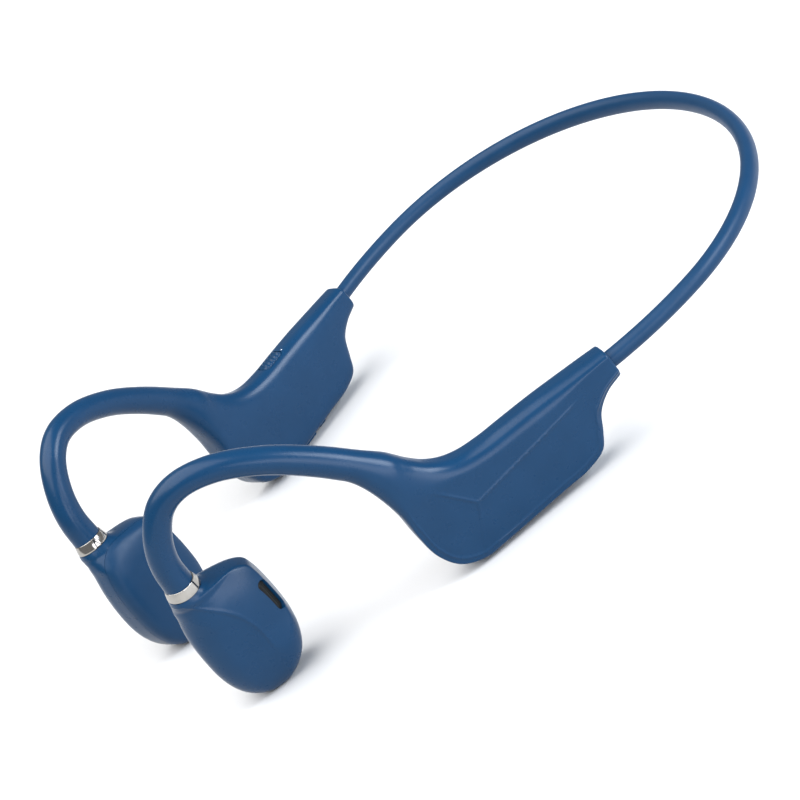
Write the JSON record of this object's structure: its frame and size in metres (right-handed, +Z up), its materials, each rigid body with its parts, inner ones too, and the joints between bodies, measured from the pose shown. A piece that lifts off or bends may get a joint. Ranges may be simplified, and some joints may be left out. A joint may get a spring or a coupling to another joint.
{
  "type": "bone conduction headphones",
  "caption": "Open-ear headphones: a slim rear neckband joins flat pods whose hooks pass over the ears to transducer pads at the cheekbones.",
  "frame": {"origin": "middle of the base of the bounding box, on the surface that the set stands on", "axes": "+X to the wearer's right, +Y forward from the nape to the cheeks, +Z up as worn, pitched forward 2.5 degrees so that the set stands"},
  "size_m": [0.1198, 0.1664, 0.0532],
  "materials": {
    "navy_plastic": "satin soft-touch navy moulding",
    "navy_silicone": "smooth navy silicone with a soft sheen",
    "polished_metal": "polished warm grey metal",
    "steel": "drawn or stamped steel",
    "magnet": "nickel-plated magnet",
    "copper": "enamelled copper winding",
    "dark_mesh": "fine black acoustic mesh",
    "circuit_board": "green solder mask",
    "black_plastic": "matt black moulding",
    "cell_foil": "laminated foil pouch",
    "light_lens": "clear light pipe"
  },
  "bodies": {
    "right_arm": {"neckband_sleeve_right": "navy_silicone", "memory_wire_right": "steel", "wire_ferrule_right": "steel", "ear_hook_right": "navy_silicone", "hook_wire_right": "steel", "pod_outer_shell_right": "navy_plastic", "pod_inner_shell_right": "navy_plastic", "function_switch_right": "black_plastic", "power_switch_right": "black_plastic", "usb_c_socket_right": "steel", "status_light_right": "light_lens", "main_board_right": "circuit_board", "bluetooth_shield_right": "steel", "charge_board_right": "circuit_board", "microphone_right": "black_plastic", "trim_ring_right": "polished_metal", "transducer_housing_right": "navy_plastic", "contact_pad_right": "navy_silicone", "vent_mesh_right": "dark_mesh", "voice_coil_right": "copper", "spring_plate_right": "steel"},
    "left_arm": {"neckband_sleeve_left": "navy_silicone", "memory_wire_left": "steel", "wire_ferrule_left": "steel", "ear_hook_left": "navy_silicone", "hook_wire_left": "steel", "pod_outer_shell_left": "navy_plastic", "pod_inner_shell_left": "navy_plastic", "battery_cell_left": "cell_foil", "battery_guard_board_left": "circuit_board", "trim_ring_left": "polished_metal", "transducer_housing_left": "navy_plastic", "contact_pad_left": "navy_silicone", "vent_mesh_left": "dark_mesh", "voice_coil_left": "copper", "spring_plate_left": "steel"},
    "function_button": {"function_button_right": "navy_plastic"},
    "power_button": {"power_button_right": "navy_plastic"},
    "port_cover": {"port_cover_right": "navy_silicone"},
    "transducer_mass_right": {"transducer_yoke_right": "steel", "transducer_magnet_right": "magnet"},
    "transducer_mass_left": {"transducer_yoke_left": "steel", "transducer_magnet_left": "magnet"}
  },
  "joints": [
    {"name": "neckband_flex", "type": "hinge", "parent": "right_arm", "child": "left_arm", "pos_m": [0, -0.08147, 0.02027], "axis": [0, 0.0436, 0.999], "range_deg": [-5, 14], "stiffness_Nm_per_rad": 0.33},
    {"name": "function_button_press", "type": "slide", "parent": "right_arm", "child": "function_button", "axis": [0, -0.0436, -0.999], "range_m": [0, 0.0004], "stiffness_N_per_m": 600},
    {"name": "power_button_press", "type": "slide", "parent": "right_arm", "child": "power_button", "axis": [0, 0.0436, 0.999], "range_m": [0, 0.0004], "stiffness_N_per_m": 600},
    {"name": "port_cover_hinge", "type": "hinge", "parent": "right_arm", "child": "port_cover", "pos_m": [0.04739, 0.01789, 0.00057], "axis": [-0.9703, -0.2417, 0.0106], "range_deg": [0, 100]},
    {"name": "transducer_right_vibrate", "type": "slide", "parent": "right_arm", "child": "transducer_mass_right", "axis": [0.9511, 0.3087, -0.0135], "range_m": [-0.00025, 0.00025], "stiffness_N_per_m": 2000},
    {"name": "transducer_left_vibrate", "type": "slide", "parent": "left_arm", "child": "transducer_mass_left", "axis": [-0.9511, 0.3087, -0.0135], "range_m": [-0.00025, 0.00025], "stiffness_N_per_m": 2000}
  ]
}
